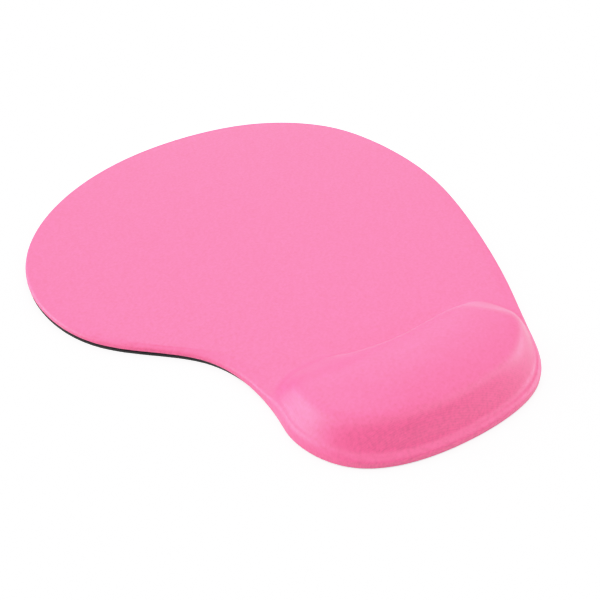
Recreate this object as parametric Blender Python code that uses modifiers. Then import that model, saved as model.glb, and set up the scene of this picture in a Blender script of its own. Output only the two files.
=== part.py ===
"""Mouse mat with a built-in gel wrist rest, as its separate layers.

The mat lies on the desk at z = 0, with the middle of its footprint on the origin.
+X is to the user's right and +Y is away from the user, so the wrist rest is at -Y.
From the desk up: a rubber sheet, a foam sheet with a window, a gel pouch that
stands in the window, and one knitted cover over everything, turned down round the
edge. Lengths are in millimetres until a mesh is made.
"""

from math import cos, pi, sin

import bmesh
import bpy
import numpy as np

METRES = 0.001

# Plan of the mat, from its far end down the right side and back up the left.
OUTLINE = [
    (23, 114.5), (60.5, 102), (80.5, 81), (93, 50), (96, 12), (89, -38.5),
    (79.5, -74.5), (64, -103), (17.5, -115.5), (-16, -108), (-28.5, -89), (-30, -71.5),
    (-44, -39), (-80.5, -12.5), (-96.5, 32), (-78, 76.5), (-32.5, 107),
]
# Plan of the cushion where its wall meets the mat, from its left rear corner along the
# rear. The brow is where the wall has rolled over into the top, with its height: the
# top is highest at the right rear. The two lists run together, point by point.
CUSHION_FOOT = [
    (-25, -71), (-16, -61), (0, -58.5), (18, -64), (38, -61), (55, -54.5), (69, -52.5),
    (76.5, -65.5), (73, -83.5), (61.5, -99), (38, -108), (12, -111.3), (-11.5, -106), (-24, -91),
]
CUSHION_BROW = [
    (-13, -81, 15.5), (-5, -78, 16.5), (3, -76, 17.8), (19, -76, 18.6), (38, -72.5, 19),
    (52, -68.5, 19), (60, -71, 18.8), (66, -77, 18.2), (64, -84.5, 17.8), (54.5, -92.5, 17.5),
    (36, -100.3, 17.3), (12, -103.7, 17), (-5.5, -98.2, 16), (-13, -89, 15.3),
]

MAT_THICKNESS = 4.5
CUSHION_TOP = 20.0
WALL_POWER = 2.3  # 2 gives an elliptical wall, more gives a squarer shoulder
SOFT_CORNERS = [(-6, -59.5), (71, -54)]  # the wall is a gentle ramp near these points of the foot
SOFT_REACH = 20
EDGE_ROLL = 1.6  # radius of the fabric where it turns down round the mat
CUSHION_FILLET = 1.0  # fabric between the mat and the cushion's wall

BASE_THICKNESS = 1.3
BASE_INSET = 0.4  # the rubber stops just inside the fabric's edge
FABRIC = 0.6
FILM = 0.25
SEAL_RIM = 1.5  # flat margin where the two films of the pouch are welded
GAP = 0.3  # room left between touching pieces

STEPS = 5  # stretches of a smooth loop between two of its points
WALL_RINGS = 6
ROLL_RINGS = 3
CROWN_SCALES = (0.66, 0.33)

FOAM_BOTTOM = BASE_THICKNESS + GAP
FOAM_TOP = MAT_THICKNESS - FABRIC - GAP
BACKING_TOP = FOAM_BOTTOM + FILM
GEL_BOTTOM = BACKING_TOP + GAP
RIM_TOP = GEL_BOTTOM + FILM


def smooth_loop(points):
    """A closed cubic spline through the points, as STEPS points for each stretch."""
    points = np.array(points, float)
    count = len(points)
    ahead, behind = np.roll(points, -1, 0), np.roll(points, 1, 0)
    one = np.eye(count)
    system = 4 * one + np.roll(one, 1, 0) + np.roll(one, -1, 0)
    slopes = np.linalg.solve(system, 3 * (ahead - behind))
    t = (np.arange(STEPS) / STEPS)[None, :, None]
    start, end = points[:, None], ahead[:, None]
    leave, arrive = slopes[:, None], np.roll(slopes, -1, 0)[:, None]
    loop = (
        start * (2 * t**3 - 3 * t**2 + 1)
        + leave * (t**3 - 2 * t**2 + t)
        + end * (3 * t**2 - 2 * t**3)
        + arrive * (t**3 - t**2)
    )
    return loop.reshape(len(points) * STEPS, -1)


def inset(loop, distance):
    """The loop moved inwards by a distance, or outwards where it is negative."""
    along = np.roll(loop, -1, 0) - np.roll(loop, 1, 0)
    along /= np.linalg.norm(along, axis=1, keepdims=True)
    # The loops run clockwise seen from above, so inwards is to the right of travel.
    return loop + distance * np.column_stack([along[:, 1], -along[:, 0]])


def centred_plan():
    """The plan loops, moved together so that the mat's box is centred on z."""
    mat = smooth_loop(OUTLINE)
    middle = (mat.min(0) + mat.max(0)) / 2
    foot, brow = smooth_loop(CUSHION_FOOT), smooth_loop(CUSHION_BROW)
    soft = [np.exp(-((foot - corner) ** 2).sum(1) / SOFT_REACH**2) for corner in SOFT_CORNERS]
    softness = np.max(soft, axis=0)
    return mat - middle, foot - middle, brow[:, :2] - middle, brow[:, 2], softness


MAT, FOOT, BROW, BROW_HEIGHT, SOFTNESS = centred_plan()


def add_ring(bm, loop, height):
    """Points above a plan loop, at one height or at a height for each."""
    heights = np.broadcast_to(height, len(loop))
    return [bm.verts.new((x, y, z)) for (x, y), z in zip(loop, heights)]


def bridge(bm, ring, other):
    """Quads between two rings of the same number of points."""
    for i in range(len(ring)):
        j = (i + 1) % len(ring)
        bm.faces.new((ring[i], ring[j], other[j], other[i]))


def fill(bm, *rings):
    """A flat face inside the first ring, less the second where there is one."""
    edges = []
    for ring in rings:
        for i in range(len(ring)):
            pair = (ring[i - 1], ring[i])
            edges.append(bm.edges.get(pair) or bm.edges.new(pair))
    bmesh.ops.triangle_fill(bm, use_beauty=True, edges=edges)


def add_mat_edge(bm, depth, bottom):
    """The mat's rolled edge, a depth under the cover's face: the rings, bottom first."""
    roll = EDGE_ROLL - depth
    centre_height = MAT_THICKNESS - EDGE_ROLL
    rings = [add_ring(bm, inset(MAT, depth), bottom)]
    for i in range(ROLL_RINGS + 1):
        turn = i / ROLL_RINGS * pi / 2
        loop = inset(MAT, EDGE_ROLL - roll * cos(turn))
        rings.append(add_ring(bm, loop, centre_height + roll * sin(turn)))
    for lower, upper in zip(rings, rings[1:]):
        bridge(bm, lower, upper)
    return rings


def wall_ring(depth, turn):
    """One ring of the cushion's wall, a depth under the cover's face: loop and heights.

    The turn goes from 0 at the foot to 90 degrees at the brow. The wall is a quarter
    of a superellipse, and its soft stretches are straight ramps.
    """
    ramp = turn / (pi / 2)
    out = max(cos(turn), 0.0) ** (2 / WALL_POWER)
    out += SOFTNESS * (1 - ramp - out)
    rise = sin(turn) ** (2 / WALL_POWER)
    rise += SOFTNESS * (ramp - rise)
    loop = BROW + out[:, None] * (inset(FOOT, depth) - BROW)
    return loop, MAT_THICKNESS - depth + rise * (BROW_HEIGHT - MAT_THICKNESS)


def add_cushion(bm, depth, bottom):
    """The cushion's wall and top, a depth under the cover's face: its lowest ring."""
    rings = [add_ring(bm, inset(FOOT, depth), bottom)]
    for i in range(1, WALL_RINGS + 1):
        rings.append(add_ring(bm, *wall_ring(depth, i / WALL_RINGS * pi / 2)))
    middle, peak = BROW.mean(0), CUSHION_TOP - depth
    for scale in CROWN_SCALES:
        loop = middle + scale * (BROW - middle)
        rings.append(add_ring(bm, loop, peak - scale**2 * (CUSHION_TOP - BROW_HEIGHT)))
    for lower, upper in zip(rings, rings[1:]):
        bridge(bm, lower, upper)
    last, centre = rings[-1], bm.verts.new((*middle, peak))
    for i in range(len(last)):
        bm.faces.new((last[i - 1], last[i], centre))
    return rings[0]


def material(name, colour, roughness):
    made = bpy.data.materials.new(name)
    made.use_nodes = True
    shader = made.node_tree.nodes["Principled BSDF"]
    shader.inputs["Base Color"].default_value = (*colour, 1)
    shader.inputs["Roughness"].default_value = roughness
    shader.inputs["Metallic"].default_value = 0.0
    made.diffuse_color = (*colour, 1)
    return made


def new_object(name, data, finish):
    made = bpy.data.objects.new(name, data)
    made.data.materials.append(finish)
    bpy.data.collections["wrist_rest_mat"].objects.link(made)
    return made


def mesh_object(name, bm, finish):
    """An object in metres from a mesh in millimetres, with its faces pointing out."""
    bmesh.ops.scale(bm, vec=(METRES,) * 3, verts=bm.verts)
    bmesh.ops.recalc_face_normals(bm, faces=bm.faces)
    highest = max(bm.faces, key=lambda face: face.calc_center_median().z)
    if highest.normal.z < 0:
        bmesh.ops.reverse_faces(bm, faces=bm.faces)
    mesh = bpy.data.meshes.new(name)
    bm.to_mesh(mesh)
    bm.free()
    mesh.shade_smooth()
    mesh.set_sharp_from_angle(angle=pi / 5)
    return new_object(name, mesh, finish)


def thicken(piece, thickness):
    """Gives an open surface a thickness on its inner side."""
    solid = piece.modifiers.new("Thickness", "SOLIDIFY")
    solid.thickness = thickness * METRES
    solid.offset = -1
    solid.use_even_offset = True


def flat_sheet(name, loop, bottom, thickness, finish):
    """A flat sheet with square edges, as a filled curve."""
    curve = bpy.data.curves.new(name, "CURVE")
    curve.dimensions = "2D"
    curve.fill_mode = "BOTH"
    curve.extrude = thickness / 2 * METRES
    spline = curve.splines.new("POLY")
    spline.points.add(len(loop) - 1)
    for point, (x, y) in zip(spline.points, loop):
        point.co = (x * METRES, y * METRES, 0, 1)
    spline.use_cyclic_u = True
    sheet = new_object(name, curve, finish)
    sheet.location.z = (bottom + thickness / 2) * METRES
    return sheet


def make_nonslip_base():
    rubber = material("black rubber", (0.012, 0.012, 0.013), 0.75)
    flat_sheet("nonslip_base", inset(MAT, BASE_INSET), 0, BASE_THICKNESS, rubber)


def make_foam_sheet():
    bm = bmesh.new()
    edge = add_mat_edge(bm, FABRIC + GAP, FOAM_BOTTOM)
    window = inset(FOOT, FABRIC + GAP - SEAL_RIM - GAP)
    lower, upper = add_ring(bm, window, FOAM_BOTTOM), add_ring(bm, window, FOAM_TOP)
    bridge(bm, lower, upper)
    fill(bm, edge[-1], upper)
    fill(bm, edge[0], lower)
    mesh_object("foam_sheet", bm, material("charcoal foam", (0.03, 0.03, 0.033), 0.9))


def make_gel_pouch():
    film = material("clear film", (0.75, 0.77, 0.8), 0.25)
    depth = FABRIC + GAP
    rim = inset(FOOT, depth - SEAL_RIM)
    flat_sheet("gel_pouch_backing", rim, FOAM_BOTTOM, FILM, film)
    bm = bmesh.new()
    bridge(bm, add_ring(bm, rim, RIM_TOP), add_cushion(bm, depth, RIM_TOP))
    thicken(mesh_object("gel_pouch_dome", bm, film), FILM)


def make_gel_core():
    bm = bmesh.new()
    fill(bm, add_cushion(bm, FABRIC + FILM + 2 * GAP, GEL_BOTTOM))
    mesh_object("gel_core", bm, material("clear gel", (0.8, 0.72, 0.76), 0.15))


def make_fabric_cover():
    bm = bmesh.new()
    edge = add_mat_edge(bm, 0, BASE_THICKNESS + GAP)
    wall = add_cushion(bm, 0, MAT_THICKNESS + CUSHION_FILLET * (1 - SOFTNESS))
    crease = add_ring(bm, inset(FOOT, -CUSHION_FILLET), MAT_THICKNESS)
    bridge(bm, crease, wall)
    fill(bm, edge[-1], crease)
    cover = mesh_object("fabric_cover", bm, material("pink knit", (0.93, 0.2, 0.46), 0.8))
    thicken(cover, FABRIC)


def clear_scene():
    for old in list(bpy.data.objects):
        bpy.data.objects.remove(old, do_unlink=True)
    collection = bpy.data.collections.new("wrist_rest_mat")
    bpy.context.scene.collection.children.link(collection)


clear_scene()
make_nonslip_base()
make_foam_sheet()
make_gel_pouch()
make_gel_core()
make_fabric_cover()
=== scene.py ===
"""Looks of a mouse mat with a built-in gel wrist rest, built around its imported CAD.

The visible pieces are the knitted cover, one sheet drawn over the mat and the
cushion, and the rubber sheet under it. The cover's cushion starts as the CAD's
heights, softened and filled out at its two ends, and a cloth simulation gives it
the swell of the gel inside. The layers inside keep their CAD shapes. Lengths are
in millimetres until a mesh is made.
"""

from math import cos, pi, radians, sin

import bmesh
import bpy
import numpy as np
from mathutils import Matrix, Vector
from mathutils.bvhtree import BVHTree


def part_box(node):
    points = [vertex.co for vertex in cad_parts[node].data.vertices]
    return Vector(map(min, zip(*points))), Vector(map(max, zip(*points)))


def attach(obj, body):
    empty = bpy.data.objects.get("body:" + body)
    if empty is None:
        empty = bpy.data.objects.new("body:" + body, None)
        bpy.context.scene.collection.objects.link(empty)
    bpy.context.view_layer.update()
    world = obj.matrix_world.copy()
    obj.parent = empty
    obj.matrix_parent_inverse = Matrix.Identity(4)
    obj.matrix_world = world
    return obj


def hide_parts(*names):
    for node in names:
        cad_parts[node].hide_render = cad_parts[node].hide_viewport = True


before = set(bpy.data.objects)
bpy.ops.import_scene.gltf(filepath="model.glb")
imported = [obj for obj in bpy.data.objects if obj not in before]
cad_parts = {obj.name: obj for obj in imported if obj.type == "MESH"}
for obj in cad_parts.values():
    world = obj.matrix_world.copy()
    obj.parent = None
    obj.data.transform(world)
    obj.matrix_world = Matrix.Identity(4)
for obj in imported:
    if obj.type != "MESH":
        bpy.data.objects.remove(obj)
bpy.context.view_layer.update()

MM = 0.001

# From the frame: the cover's lower edge, the rubber's top, and how far the cover
# reaches past the rubber.
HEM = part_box("fabric_cover")[0].z / MM
BASE_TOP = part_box("nonslip_base")[1].z / MM
COVER_OVERHANG = (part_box("fabric_cover")[1].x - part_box("nonslip_base")[1].x) / MM

# The CAD's design values that its boxes don't show.
MAT_TOP = 4.5
FABRIC = 0.6
EDGE_ROLL = 1.6  # radius of the cover where it turns down round the mat
SEAL_RIM_OUT = 0.6  # the pouch's rim stands this far outside the cushion's foot

# Along the cushion the cover is drawn down almost to the desk.
LOW_HEM = 0.5
LOW_HEM_INSET = 0.8  # the rubber under a low hem keeps this far inside it
HIGH_HEM_INSET = 0.3
LOW_HEM_ENDS, HIGH_HEM_STARTS = -75.0, -25.0  # in Y
HIGH_HEM_LIFT = 0.4  # elsewhere it ends a little higher than the CAD's

# The cover's mesh: rings of points from its hem to the cushion's ridge.
AROUND = 500
ROLL_RINGS, MAT_RINGS, WALL_RINGS, RIDGE_RINGS = 8, 26, 46, 12
POLE_SHIFT = (13.0, 4.0)  # from the middle of the cushion to where rays meet each edge once
HEM_FOLD = ((0.3, 0.0), (0.08, 0.1), (0.0, 0.4))  # each point's inset, and height above the hem
STRAIGHTEST = 0.95  # limit on how straight the roll becomes, as the cosine of its turn
DROOP, DROOP_REACH = 0.3, 7.0  # the mat's border sinks a little towards its rolled edge
CROWDED_FROM, MAT_CROWDING = 6.0, 0.25  # the mat's rings crowd more where it is wider than this
WALL_CROWDING = 1.6  # the wall's rings crowd towards the foot
RIDGE_LENGTH, RIDGE_WIDTH = 0.55, 0.12  # as shares of the cushion's foot
INNERMOST = 0.05  # the last ring's size as a share of the ridge

# The cushion's surface as heights on a grid.
CELL = 0.5
MARGIN = 12.0  # the grid reaches this far outside the cushion's foot
FOOT_SIDES = 240  # sides of the foot's outline when distances to it are measured
WALL_BLUR, TOP_BLUR = 1.6, 2.2  # how far the CAD's creases are softened, low and high
SOFT_BELOW = 8.0  # height above the mat where the wall's blur has become the top's

# The gel fills the cover out over the foot's two ends. Each pair is where a weight
# starts and ends, in X, in Y or in depth inside the foot.
END_FILL, RIGHT_SHARE = 2.6, 0.7
END_BLUR = 3.5
LEFT_X, LEFT_Y = (-22.0, -10.0), (-72.0, -65.0)
RIGHT_X, RIGHT_Y, RIGHT_FRONT_Y = (62.0, 74.0), (-72.0, -58.0), (-102.0, -86.0)
FILL_ENDS, FILL_STARTS = (-1.5, 9.0), (-4.0, 0.0)
FILL_AT_EDGE = 0.5  # share of the fill at the mat's edge

# The cloth simulation of the cushion's swell.
CLOTH_CELL = 2.0
PRESSURE = 4.0
STIFFNESS = 15.0
FRAMES = 20
MOST_SWELL = 0.7

# The rubber sheet and the grip pads on its underside.
BASE_EDGE = 0.25  # rounding of the rubber's lower edge
BASE_PROFILE = ((2 * BASE_EDGE, 0), (BASE_EDGE * 0.3, BASE_EDGE * 0.3), (0, BASE_EDGE))
BASE_STEP = 4  # the base's outline takes one point in this many
GRIP_CELL, GRIP_CELLS = 0.8, 200  # a cell of the pads' grid, and cells from its middle to its end
GRIP_TURN = 45  # degrees
PAD_CELLS = 5  # cells from one groove to the next
GROOVE = 0.25
PLAIN_BORDER = 1.5  # the pads keep this far inside the rubber's edge

# The knit.
PINK = (0.94, 0.115, 0.315)
WALE, COURSE = 0.55, 0.45  # width and height of a stitch
STITCH_DEPTH = 0.05


# ---------------------------------------------------------------- plan loops


def boundary_loop(node):
    """The plan outline of a flat CAD sheet, anticlockwise."""
    bm = bmesh.new()
    bm.from_mesh(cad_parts[node].data)
    bmesh.ops.remove_doubles(bm, verts=bm.verts, dist=1e-6)
    lowest = min(v.co.z for v in bm.verts)
    under = {f for f in bm.faces if all(v.co.z - lowest < 1e-6 for v in f.verts)}
    step, places = {}, {}
    for face in under:
        for loop in face.loops:
            if sum(other in under for other in loop.edge.link_faces) == 1:
                step[loop.vert.index] = loop.link_loop_next.vert.index
                places[loop.vert.index] = loop.vert.co.xy / MM
    start = next(iter(step))
    order, here = [start], step[start]
    while here != start:
        order.append(here)
        here = step[here]
    bm.free()
    loop = np.array([places[i] for i in order])
    following = np.roll(loop, -1, 0)
    area = (loop[:, 0] * following[:, 1] - loop[:, 1] * following[:, 0]).sum()
    return loop if area > 0 else loop[::-1]


def rounded(loop, steps=24):
    """The loop with a smooth curve (Catmull-Rom) between its points."""
    p0, p1, p2, p3 = (np.roll(loop, shift, 0)[:, None] for shift in (1, 0, -1, -2))
    t = (np.arange(steps) / steps)[None, :, None]
    bend = 2 * p0 - 5 * p1 + 4 * p2 - p3
    twist = 3 * (p1 - p2) + p3 - p0
    curve = p1 + 0.5 * t * (p2 - p0 + t * (bend + t * twist))
    return curve.reshape(-1, 2)


def inset(loop, distance):
    """The loop moved inwards by a distance, or by one for each point."""
    along = np.roll(loop, -1, 0) - np.roll(loop, 1, 0)
    along /= np.linalg.norm(along, axis=1, keepdims=True)
    inwards = np.column_stack([-along[:, 1], along[:, 0]])
    return loop + np.reshape(distance, (-1, 1)) * inwards


def seen_from(pole, loop, angles):
    """Where rays from the pole, in the given directions, meet the loop."""
    offset = loop - pole
    angle = np.arctan2(offset[:, 1], offset[:, 0]) % (2 * pi)
    order = np.argsort(angle)
    radius = np.linalg.norm(offset, axis=1)[order]
    found = np.interp(angles, angle[order], radius, period=2 * pi)
    return pole + found[:, None] * np.column_stack([np.cos(angles), np.sin(angles)])


def matched(outer, inner):
    """Both loops as AROUND points that face each other, evenly spread along the two."""
    pole = (inner.min(0) + inner.max(0)) / 2 + POLE_SHIFT
    fine = np.linspace(0, 2 * pi, 8 * AROUND + 1)
    spread = np.zeros(len(fine))
    for loop in (outer, inner):
        steps = np.linalg.norm(np.diff(seen_from(pole, loop, fine), axis=0), axis=1)
        spread[1:] += np.cumsum(steps) / steps.sum()
    angles = np.interp(np.arange(AROUND) / AROUND * spread[-1], spread, fine)
    return seen_from(pole, outer, angles), seen_from(pole, inner, angles)


def smooth_step(value, low, high):
    """0 below low, 1 above high, and a smooth S between them."""
    t = np.clip((value - low) / (high - low), 0, 1)
    return t * t * (3 - 2 * t)


OUTLINE = inset(rounded(boundary_loop("nonslip_base")), -COVER_OVERHANG)
FOOT = inset(rounded(boundary_loop("gel_pouch_backing")), SEAL_RIM_OUT)


def high_hem(loop):
    """0 where the cover's edge is drawn down at the cushion, 1 where it ends higher."""
    return smooth_step(loop[:, 1], LOW_HEM_ENDS, HIGH_HEM_STARTS)


# ---------------------------------------------------------------- mesh helpers


def new_piece(name, mesh, slot, *replaced):
    """Adds a piece on the root body that stands for the CAD nodes it replaces."""
    piece = bpy.data.objects.new(name, mesh)
    bpy.context.scene.collection.objects.link(piece)
    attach(piece, "root")
    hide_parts(*replaced)
    return piece


def mesh_from(name, points, faces):
    """A mesh from points in millimetres."""
    mesh = bpy.data.meshes.new(name)
    mesh.from_pydata((np.asarray(points) * MM).tolist(), [], faces)
    mesh.update()
    return mesh


def ring_faces(count, around, closed=True):
    """Quads between each ring of points and the one after it."""
    here = np.arange(around)
    ahead = np.roll(here, -1)
    if not closed:
        here, ahead = here[:-1], ahead[:-1]
    quads = []
    for start in np.arange(count - 1) * around:
        quads += np.column_stack(
            [start + here, start + ahead, start + around + ahead, start + around + here]
        ).tolist()
    return quads


# ---------------------------------------------------------------- cushion


class HeightField:
    """Heights over a rectangle of the plan, on a square grid."""

    def __init__(self, low, high, cell):
        self.low, self.cell = np.array(low), cell
        counts = np.ceil((np.array(high) - low) / cell).astype(int) + 1
        x, y = (self.low[axis] + cell * np.arange(counts[axis]) for axis in (0, 1))
        self.plan = np.stack(np.meshgrid(x, y), axis=-1)
        self.heights = np.zeros(self.plan.shape[:2])

    def at(self, plan):
        """Heights at plan points, between those of the grid."""
        column, row = ((plan - self.low) / self.cell).T
        limit = np.array(self.heights.shape) - 2
        r = np.clip(row.astype(int), 0, limit[0])
        c = np.clip(column.astype(int), 0, limit[1])
        v, u = np.clip(row - r, 0, 1), np.clip(column - c, 0, 1)
        h = self.heights
        near = h[r, c] * (1 - u) + h[r, c + 1] * u
        far = h[r + 1, c] * (1 - u) + h[r + 1, c + 1] * u
        return near * (1 - v) + far * v

    def blurred(self, spread):
        """The heights with a Gaussian blur of this spread in millimetres."""
        reach = int(3 * spread / self.cell) + 1
        weights = np.exp(-0.5 * (np.arange(-reach, reach + 1) * self.cell / spread) ** 2)
        weights /= weights.sum()
        padded = np.pad(self.heights, reach, mode="edge")
        rows, columns = self.heights.shape
        across = sum(w * padded[:, i : i + columns] for i, w in enumerate(weights))
        return sum(w * across[i : i + rows] for i, w in enumerate(weights))


def inside_foot(plan):
    """How far plan points lie inside the cushion's foot; negative outside it."""
    outer = FOOT[:: len(FOOT) // FOOT_SIDES]
    flat = plan.reshape(-1, 2)
    ends = np.roll(outer, -1, 0)
    along = ends - outer
    crossings = np.zeros(len(flat), bool)
    nearest = np.full(len(flat), np.inf)
    for start, end, step in zip(outer, ends, along):
        share = np.clip((flat - start) @ step / (step @ step), 0, 1)
        gap = np.linalg.norm(flat - start - share[:, None] * step, axis=1)
        nearest = np.minimum(nearest, gap)
        spans = (start[1] > flat[:, 1]) != (end[1] > flat[:, 1])
        if step[1]:
            crossing = start[0] + (flat[:, 1] - start[1]) / step[1] * step[0]
            crossings ^= spans & (flat[:, 0] < crossing)
    return np.where(crossings, nearest, -nearest).reshape(plan.shape[:-1])


def cad_heights(field):
    """The CAD cover's heights over a field's grid, and the mat's where there is no cover."""
    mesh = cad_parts["fabric_cover"].data
    corners, sides = [v.co for v in mesh.vertices], [p.vertices for p in mesh.polygons]
    tree = BVHTree.FromPolygons(corners, sides)
    down, above = Vector((0, 0, -1)), 0.1
    for row, column in np.ndindex(field.heights.shape):
        x, y = field.plan[row, column] * MM
        hit = tree.ray_cast(Vector((x, y, above)), down)[0]
        field.heights[row, column] = max(hit.z / MM if hit else MAT_TOP, MAT_TOP)


def swell(field):
    """How far the gel's pressure lifts the cushion, from a cloth pinned round its foot."""
    sheet = HeightField(field.low, field.plan[-1, -1], CLOTH_CELL)
    sheet.heights = field.at(sheet.plan.reshape(-1, 2)).reshape(sheet.heights.shape)
    rows, columns = sheet.heights.shape
    points = np.dstack([sheet.plan, sheet.heights]).reshape(-1, 3)
    mesh = mesh_from("swelling", points, ring_faces(rows, columns, closed=False))
    cloth = bpy.data.objects.new("swelling", mesh)
    bpy.context.scene.collection.objects.link(cloth)
    pinned = cloth.vertex_groups.new(name="pinned")
    depth = inside_foot(sheet.plan).reshape(-1)
    for index, weight in enumerate(1 - smooth_step(depth, 0, 2 * CLOTH_CELL)):
        pinned.add([index], weight, "REPLACE")
    modifier = cloth.modifiers.new("Swell", "CLOTH")
    settings = modifier.settings
    settings.vertex_group_mass = "pinned"
    settings.use_pressure = True
    settings.uniform_pressure_force = PRESSURE
    settings.effector_weights.gravity = 0
    settings.tension_stiffness = settings.compression_stiffness = STIFFNESS
    modifier.point_cache.frame_end = FRAMES
    for moment in range(1, FRAMES + 1):
        bpy.context.scene.frame_set(moment)
    graph = bpy.context.evaluated_depsgraph_get()
    moved = cloth.evaluated_get(graph).to_mesh()
    heights = np.array([v.co.z for v in moved.vertices]) / MM
    lift = np.clip(heights.reshape(rows, columns) - sheet.heights, 0, MOST_SWELL)
    bpy.data.objects.remove(cloth)
    bpy.context.scene.frame_set(1)
    sheet.heights = lift
    sheet.heights = sheet.blurred(2 * CLOTH_CELL)
    return sheet


def end_fill(plan):
    """How much fuller than the CAD's the cover is over the cushion's two ends."""
    x, y = plan[..., 0], plan[..., 1]
    depth = inside_foot(plan)
    left = (1 - smooth_step(x, *LEFT_X)) * (1 - smooth_step(y, *LEFT_Y))
    behind, front = 1 - smooth_step(y, *RIGHT_Y), smooth_step(y, *RIGHT_FRONT_Y)
    right = smooth_step(x, *RIGHT_X) * behind * front
    start = FILL_AT_EDGE + (1 - FILL_AT_EDGE) * smooth_step(depth, *FILL_STARTS)
    profile = (1 - smooth_step(depth, *FILL_ENDS)) * start
    return END_FILL * profile * (left + RIGHT_SHARE * right)


def cushion_field():
    """The finished heights of the cover over the cushion."""
    field = HeightField(FOOT.min(0) - MARGIN, FOOT.max(0) + MARGIN, CELL)
    cad_heights(field)
    low, high = field.blurred(WALL_BLUR), field.blurred(TOP_BLUR)
    share = smooth_step(low - MAT_TOP, 0, SOFT_BELOW)
    ends = HeightField(field.low, field.plan[-1, -1], CELL)
    ends.heights = end_fill(ends.plan)
    field.heights = low + share * (high - low) + ends.blurred(END_BLUR)
    lift = swell(field)
    raised = lift.at(field.plan.reshape(-1, 2)).reshape(field.heights.shape)
    field.heights += raised
    return field


# ---------------------------------------------------------------- cover


def droop(inside):
    """How far the cover lies below the field, this far inside the edge's roll."""
    return DROOP * (1 - smooth_step(inside, 0, DROOP_REACH))


def edge_rings(field, outline):
    """The hem and the rolled edge. Where the cushion's flare reaches the edge, the roll is
    taller and turns only until it meets the flare's slope."""
    hem = LOW_HEM + high_hem(outline) * (HEM + HIGH_HEM_LIFT - LOW_HEM)
    for distance, height in HEM_FOLD:
        yield inset(outline, distance), hem + height
    edge = inset(outline, EDGE_ROLL)
    start = MAT_TOP - DROOP - EDGE_ROLL
    rise = field.at(edge) - DROOP - start
    climb = (field.at(inset(outline, 2 * EDGE_ROLL)) - field.at(edge)).clip(0)
    last_turn = np.arccos((climb / np.maximum(rise - climb, climb)).clip(0, STRAIGHTEST))
    for share in np.linspace(0, 1, ROLL_RINGS + 1):
        turn = share * last_turn
        out = EDGE_ROLL * (1 - np.cos(turn)) / (1 - np.cos(last_turn))
        yield inset(outline, out), start + rise * np.sin(turn) / np.sin(last_turn)


def mat_rings(field, edge, foot, width):
    """The flat of the mat, with its rings crowded towards the cushion."""
    crowding = 1 + MAT_CROWDING * np.log(np.maximum(width, CROWDED_FROM) / CROWDED_FROM)
    for i in range(1, MAT_RINGS + 1):
        share = 1 - (1 - i / MAT_RINGS) ** crowding
        loop = edge + share[:, None] * (foot - edge)
        yield loop, field.at(loop) - droop(share * width)


def cushion_rings(field, foot, width):
    """The cushion, from its foot to its ridge, then along the ridge."""
    middle, reach = (foot.min(0) + foot.max(0)) / 2, (foot.max(0) - foot.min(0)) / 2
    flat = (foot - middle) / reach
    turn = np.arctan2(flat[:, 1], flat[:, 0])
    round_middle = np.column_stack([np.cos(turn), np.sin(turn)])
    ridge = middle + reach * (RIDGE_LENGTH, RIDGE_WIDTH) * round_middle
    span = np.linalg.norm(ridge - foot, axis=1)
    for i in range(1, WALL_RINGS + 1):
        share = (i / WALL_RINGS) ** WALL_CROWDING
        loop = foot + share * (ridge - foot)
        yield loop, field.at(loop) - droop(width + share * span)
    for share in np.linspace(1, INNERMOST, RIDGE_RINGS)[1:]:
        loop = middle + share * (ridge - middle)
        yield loop, field.at(loop)


def cover_rings(field):
    """The cover's face as rings of points, from its hem to the middle of the cushion."""
    outline, foot = matched(OUTLINE, FOOT)
    edge = inset(outline, EDGE_ROLL)
    width = np.linalg.norm(foot - edge, axis=1)
    rings = [
        *edge_rings(field, outline),
        *mat_rings(field, edge, foot, width),
        *cushion_rings(field, foot, width),
    ]
    return np.array([np.column_stack(ring) for ring in rings])


def make_cover():
    """The knitted cover, with the fabric's thickness under its face."""
    rings = cover_rings(cushion_field())
    count = len(rings)
    points = rings.reshape(-1, 3)
    last = (count - 1) * AROUND
    fan = [(last + i, last + (i + 1) % AROUND, len(points)) for i in range(AROUND)]
    points = np.vstack([points, rings[-1].mean(0)])
    mesh = mesh_from("knit_cover", points, ring_faces(count, AROUND) + fan)
    mesh.shade_smooth()
    mesh.materials.append(knit_material())
    cover = new_piece("knit_cover", mesh, "knit_cover", "fabric_cover")
    solid = cover.modifiers.new("Thickness", "SOLIDIFY")
    solid.thickness = FABRIC * MM
    solid.offset = -1


# ---------------------------------------------------------------- base


def inside_loop(loop, plan):
    """Which plan points lie inside a loop."""
    x, y = plan[..., 0], plan[..., 1]
    inside = np.zeros(x.shape, bool)
    for (ax, ay), (bx, by) in zip(loop, np.roll(loop, -1, 0)):
        if ay != by:
            inside ^= ((ay > y) != (by > y)) & (x < ax + (y - ay) / (by - ay) * (bx - ax))
    return inside


def add_pads(bm, loop):
    """The underside's grip pads: the cells of a slanted grid that lie inside a loop."""
    turn = radians(GRIP_TURN)
    across, up = np.array([cos(turn), sin(turn)]), np.array([-sin(turn), cos(turn)])
    steps = np.arange(-GRIP_CELLS, GRIP_CELLS + 1)
    plan = GRIP_CELL * (steps[:, None, None] * across + steps[None, :, None] * up)
    allowed = inside_loop(loop, plan)
    cells = allowed[:-1, :-1] & allowed[1:, :-1] & allowed[:-1, 1:] & allowed[1:, 1:]
    grid = {}
    for i, j in np.argwhere(cells):
        corners = []
        for key in ((i, j), (i, j + 1), (i + 1, j + 1), (i + 1, j)):
            if key not in grid:
                groove = key[0] % PAD_CELLS == 0 or key[1] % PAD_CELLS == 0
                grid[key] = bm.verts.new((*plan[key], GROOVE if groove else 0))
            corners.append(grid[key])
        bm.faces.new(corners)


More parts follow.
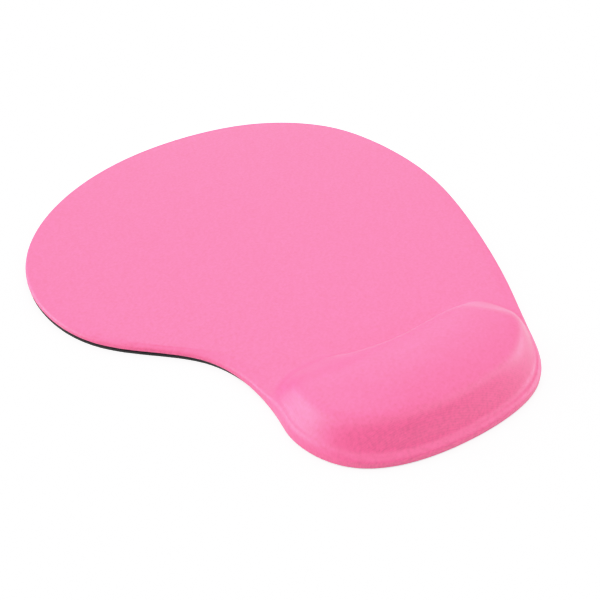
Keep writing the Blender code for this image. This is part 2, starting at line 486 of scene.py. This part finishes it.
def make_base():
    """The rubber sheet, with a grip pattern of small raised pads on its underside."""
    loop = OUTLINE[::BASE_STEP]
    loop = inset(loop, LOW_HEM_INSET + high_hem(loop) * (HIGH_HEM_INSET - LOW_HEM_INSET))
    bm = bmesh.new()
    rings = []
    for depth, height in (*BASE_PROFILE, (0, BASE_TOP)):
        rings.append([bm.verts.new((x, y, height)) for x, y in inset(loop, depth)])
    for lower, upper in zip(rings, rings[1:]):
        for i in range(len(lower)):
            bm.faces.new((lower[i - 1], lower[i], upper[i], upper[i - 1]))
    bm.faces.new(rings[-1])
    add_pads(bm, inset(loop, PLAIN_BORDER))
    # A flat border joins the pads to the edge.
    rim = [e for e in bm.edges if e.is_boundary]
    for edge in rim:
        for vert in edge.verts:
            vert.co.z = 0
    bmesh.ops.triangle_fill(bm, use_beauty=True, edges=rim)
    bmesh.ops.recalc_face_normals(bm, faces=bm.faces)
    bmesh.ops.scale(bm, vec=(MM, MM, MM), verts=bm.verts)
    mesh = bpy.data.meshes.new("rubber_base")
    bm.to_mesh(mesh)
    bm.free()
    mesh.materials.append(rubber_material())
    new_piece("rubber_base", mesh, "rubber_base", "nonslip_base")


# ---------------------------------------------------------------- materials


class Nodes:
    """Short ways to add and join shader nodes in a material or a world."""

    def __init__(self, owner, shader="Principled BSDF"):
        owner.use_nodes = True
        self.owner, self.tree = owner, owner.node_tree
        self.shader = self.tree.nodes[shader]

    def set(self, key, value, node=None):
        """Sets an input to a number or colour, or joins it to another node's output."""
        socket = (node or self.shader).inputs[key]
        if isinstance(value, bpy.types.NodeSocket):
            self.tree.links.new(value, socket)
        else:
            socket.default_value = value

    def add(self, kind, output, inputs, **options):
        """Adds a node with these inputs and options, and gives one of its outputs."""
        node = self.tree.nodes.new(kind)
        for key, value in options.items():
            setattr(node, key, value)
        for key, value in inputs.items():
            self.set(key, value, node)
        return node.outputs[output]

    def place(self):
        """The point's place in the piece's own frame, in millimetres."""
        point = self.add("ShaderNodeTexCoord", "Object", {})
        return self.add("ShaderNodeVectorMath", 0, {0: point, "Scale": 1 / MM}, operation="SCALE")

    def maths(self, operation, a, b=0.0):
        """The result of one sum on one or two numbers."""
        return self.add("ShaderNodeMath", 0, {0: a, 1: b}, operation=operation)

    def spread(self, value, low, high, start=0.0, end=1.0):
        """Stretches start to end onto low to high."""
        inputs = {"Value": value, "From Min": start, "From Max": end, "To Min": low, "To Max": high}
        return self.add("ShaderNodeMapRange", 0, inputs)

    def noise(self, size, detail=2.0):
        """Noise with features of this size in millimetres."""
        inputs = {"Vector": self.place(), "Scale": 1 / size, "Detail": detail}
        return self.add("ShaderNodeTexNoise", "Fac", inputs)

    def tinted(self, colour, factor):
        """A colour, made lighter or darker by a factor."""
        return self.add("ShaderNodeVectorMath", 0, {0: colour, "Scale": factor}, operation="SCALE")

    def bump(self, height, distance, strength=1.0):
        """A bump this deep in millimetres."""
        inputs = {"Height": height, "Strength": strength, "Distance": distance * MM}
        self.set("Normal", self.add("ShaderNodeBump", 0, inputs))


def knit_height(n):
    """Loops of a plain knit: V stitches in columns."""
    split = n.add("ShaderNodeSeparateXYZ", "X", {0: n.place()}).node
    across, along = split.outputs["X"], split.outputs["Y"]
    column = n.maths("MULTIPLY", across, pi / WALE)
    leg = n.maths("ABSOLUTE", n.maths("SINE", column))
    lean = n.maths("MULTIPLY", leg, 0.5 * pi)
    row = n.maths("ADD", n.maths("MULTIPLY", along, 2 * pi / COURSE), lean)
    loop = n.spread(n.maths("SINE", row), 0.0, 1.0, -1.0, 1.0)
    return n.maths("MULTIPLY", leg, loop)


def knit_material():
    """Fine pink stretch knit, with painted shade in the hollows between its stitch loops and a faint
    painted highlight on their tops.
    """
    n = Nodes(bpy.data.materials.new("pink stretch knit"))
    stitches = knit_height(n)
    mottle = n.spread(n.noise(7, 3), 0.975, 1.025)
    grain = n.spread(n.noise(1.2, 3), 0.75, 1.25)
    # Painted shade and highlight: the colour is up to 7 % darker in the hollows between the stitch
    # loops and up to 3 % lighter on their tops, following the stitches' height.
    depth = n.spread(stitches, 0.93, 1.03)
    # The tone carries this painted stitch shade along with the random mottle and grain.
    tone = n.maths("MULTIPLY", n.maths("MULTIPLY", mottle, grain), depth)
    n.set("Base Color", n.tinted(PINK, tone))
    n.set("Roughness", n.spread(n.noise(2, 2), 0.35, 0.45))
    n.set("Specular IOR Level", 0.8)
    n.set("Sheen Weight", 0.25)
    n.set("Sheen Roughness", 0.3)
    n.set("Sheen Tint", (1.0, 0.9, 1.0, 1.0))
    n.bump(stitches, STITCH_DEPTH, 0.5)
    return n.owner


def rubber_material():
    """Black rubber, dull, with a fine moulded grain."""
    n = Nodes(bpy.data.materials.new("black rubber"))
    n.set("Base Color", n.tinted((0.014, 0.013, 0.014), n.spread(n.noise(3), 0.7, 1.4)))
    n.set("Roughness", n.spread(n.noise(1.2), 0.6, 0.8))
    n.bump(n.noise(0.4), 0.03, 0.5)
    return n.owner


def foam_material():
    """Dark closed-cell foam."""
    n = Nodes(bpy.data.materials.new("dark foam"))
    n.set("Base Color", n.tinted((0.03, 0.03, 0.032), n.spread(n.noise(1.5), 0.7, 1.4)))
    n.set("Roughness", 0.9)
    cells = n.add("ShaderNodeTexVoronoi", "Distance", {"Vector": n.place(), "Scale": 1 / 0.5})
    n.bump(cells, 0.1)
    return n.owner


def film_material():
    """Clear film of the gel's pouch, faintly milky, with a slight ripple."""
    n = Nodes(bpy.data.materials.new("pouch film"))
    n.set("Base Color", n.tinted((0.85, 0.88, 0.9), n.spread(n.noise(9), 0.92, 1.05)))
    n.set("Roughness", n.spread(n.noise(4), 0.12, 0.25))
    n.set("Transmission Weight", 0.6)
    n.bump(n.noise(6), 0.1, 0.4)
    return n.owner


def gel_material():
    """Soft silicone gel, clear with a bluish cast and a few cloudy patches."""
    n = Nodes(bpy.data.materials.new("clear gel"))
    n.set("Base Color", n.tinted((0.62, 0.78, 0.9), n.spread(n.noise(12, 3), 0.85, 1.1)))
    n.set("Roughness", n.spread(n.noise(5), 0.15, 0.3))
    n.set("Transmission Weight", 0.5)
    n.set("Subsurface Weight", 0.3)
    n.set("Subsurface Scale", 4 * MM)
    return n.owner


def dress_inner_layers():
    """Gives the CAD layers under the cover their materials."""
    film = film_material()
    layers = {
        "foam_sheet": foam_material(),
        "gel_pouch_backing": film,
        "gel_pouch_dome": film,
        "gel_core": gel_material(),
    }
    for node, material in layers.items():
        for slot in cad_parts[node].material_slots:
            slot.material = material


# ---------------------------------------------------------------- stage


VIEW_AZIMUTH, VIEW_ELEVATION = -23.34, 40.49
VIEW_CENTRE, VIEW_DISTANCE = (0.00499, -0.01797, 0), 0.4543  # metres
LENS, SENSOR = 66.0, 36.0
FLOOR_SIZE = 6  # metres
FLOOR_WHITE = (0.8, 0.8, 0.8)
FLOOR_GAP = 0.02
UNDER_MAT = 0.5  # a ray this short runs from the mat's underside to the floor
FLOOR_GLOW = 0.5  # what the camera sees of the floor beyond its lit white
BACKDROP = 1.6  # what the camera sees of the tent itself
# Soft patches of light: azimuth from the camera's, elevation, strength and focus.
PATCHES = [
    (-110, 5, 3.0, 25), (-85, 5, 4.0, 25), (-60, 5, 1.2, 25), (110, 5, 5.5, 25),
    (-110, 30, 1.3, 25), (-85, 30, 1.2, 25), (-60, 30, 0.7, 25), (85, 30, 0.8, 25),
    (110, 30, 1.2, 25), (180, 40, 1.9, 8), (-120, 50, 0.9, 8), (-60, 50, 1.3, 8),
    (0, 50, 0.4, 8), (60, 50, 1.2, 8), (120, 50, 0.3, 8), (-30, -70, 4.0, 4),
]
AMBIENT = 0.15
# How the picture holds back its brightest tones, as light in and light out.
WHITE = 1.6
SHOULDER = [(0.5, 0.5), (0.8, 0.8), (1.0, 0.93), (1.25, 0.975)]


def towards(azimuth, elevation):
    """The direction of a place seen from the object, azimuth 0 being in front of it."""
    a, e = radians(azimuth), radians(elevation)
    return Vector((sin(a) * cos(e), -cos(a) * cos(e), sin(e)))


def make_camera():
    """A view from the front left, looking down on the mat."""
    data = bpy.data.cameras.new("camera")
    data.lens, data.sensor_width = LENS, SENSOR
    camera = bpy.data.objects.new("camera", data)
    bpy.context.scene.collection.objects.link(camera)
    back = towards(VIEW_AZIMUTH, VIEW_ELEVATION)
    camera.location = Vector(VIEW_CENTRE) + back * VIEW_DISTANCE
    camera.rotation_mode = "QUATERNION"
    camera.rotation_quaternion = back.to_track_quat("Z", "Y")
    bpy.context.scene.camera = camera


def make_floor():
    """A plain white floor just below the mat."""
    bpy.ops.mesh.primitive_plane_add(size=FLOOR_SIZE)
    floor = bpy.context.object
    floor.name = "floor"
    floor.location.z = -FLOOR_GAP * MM
    n = Nodes(bpy.data.materials.new("white floor"))
    n.set("Base Color", n.tinted(FLOOR_WHITE, n.spread(n.noise(400), 0.99, 1.01)))
    n.set("Roughness", 0.9)
    n.set("Specular IOR Level", 0.0)
    seen = n.add("ShaderNodeLightPath", "Is Camera Ray", {})
    n.set("Emission Color", (1, 1, 1, 1))
    n.set("Emission Strength", n.maths("MULTIPLY", seen, FLOOR_GLOW))
    # From below the floor is clear, and the light from there reaches the mat's underside.
    front = n.maths("SUBTRACT", 1, n.add("ShaderNodeNewGeometry", "Backfacing", {}))
    far = n.maths("GREATER_THAN", n.add("ShaderNodeLightPath", "Ray Length", {}), UNDER_MAT * MM)
    n.set("Alpha", n.maths("MULTIPLY", front, far))
    floor.data.materials.append(n.owner)


def make_tent():
    """A white tent round the object, lit in broad soft patches."""
    world = bpy.data.worlds.new("tent")
    bpy.context.scene.world = world
    n = Nodes(world, "Background")
    n.set("Color", (1, 1, 1, 1))
    look = n.add("ShaderNodeTexCoord", "Generated", {})
    light = AMBIENT
    for azimuth, elevation, strength, focus in PATCHES:
        place = towards(VIEW_AZIMUTH + azimuth, elevation)
        facing = n.add("ShaderNodeVectorMath", "Value", {0: look, 1: place}, operation="DOT_PRODUCT")
        inside = n.maths("MAXIMUM", facing, 0.0)
        patch = n.maths("MULTIPLY", n.maths("POWER", inside, focus), strength)
        light = n.maths("ADD", patch, light)
    seen = n.add("ShaderNodeLightPath", "Is Camera Ray", {})
    unseen = n.maths("MULTIPLY", light, n.maths("SUBTRACT", 1.0, seen))
    n.set("Strength", n.maths("ADD", unseen, n.maths("MULTIPLY", seen, BACKDROP)))


def set_tones():
    """A plain view with a soft shoulder, so that pink stays pink where it's bright."""
    view = bpy.context.scene.view_settings
    view.view_transform = "Standard"
    view.use_curve_mapping = True
    curve = view.curve_mapping
    curve.white_level = (WHITE, WHITE, WHITE)
    for light, tone in SHOULDER:
        curve.curves[3].points.new(light / WHITE, tone)
    curve.update()


make_cover()
make_base()
dress_inner_layers()
make_camera()
make_floor()
make_tent()
set_tones()
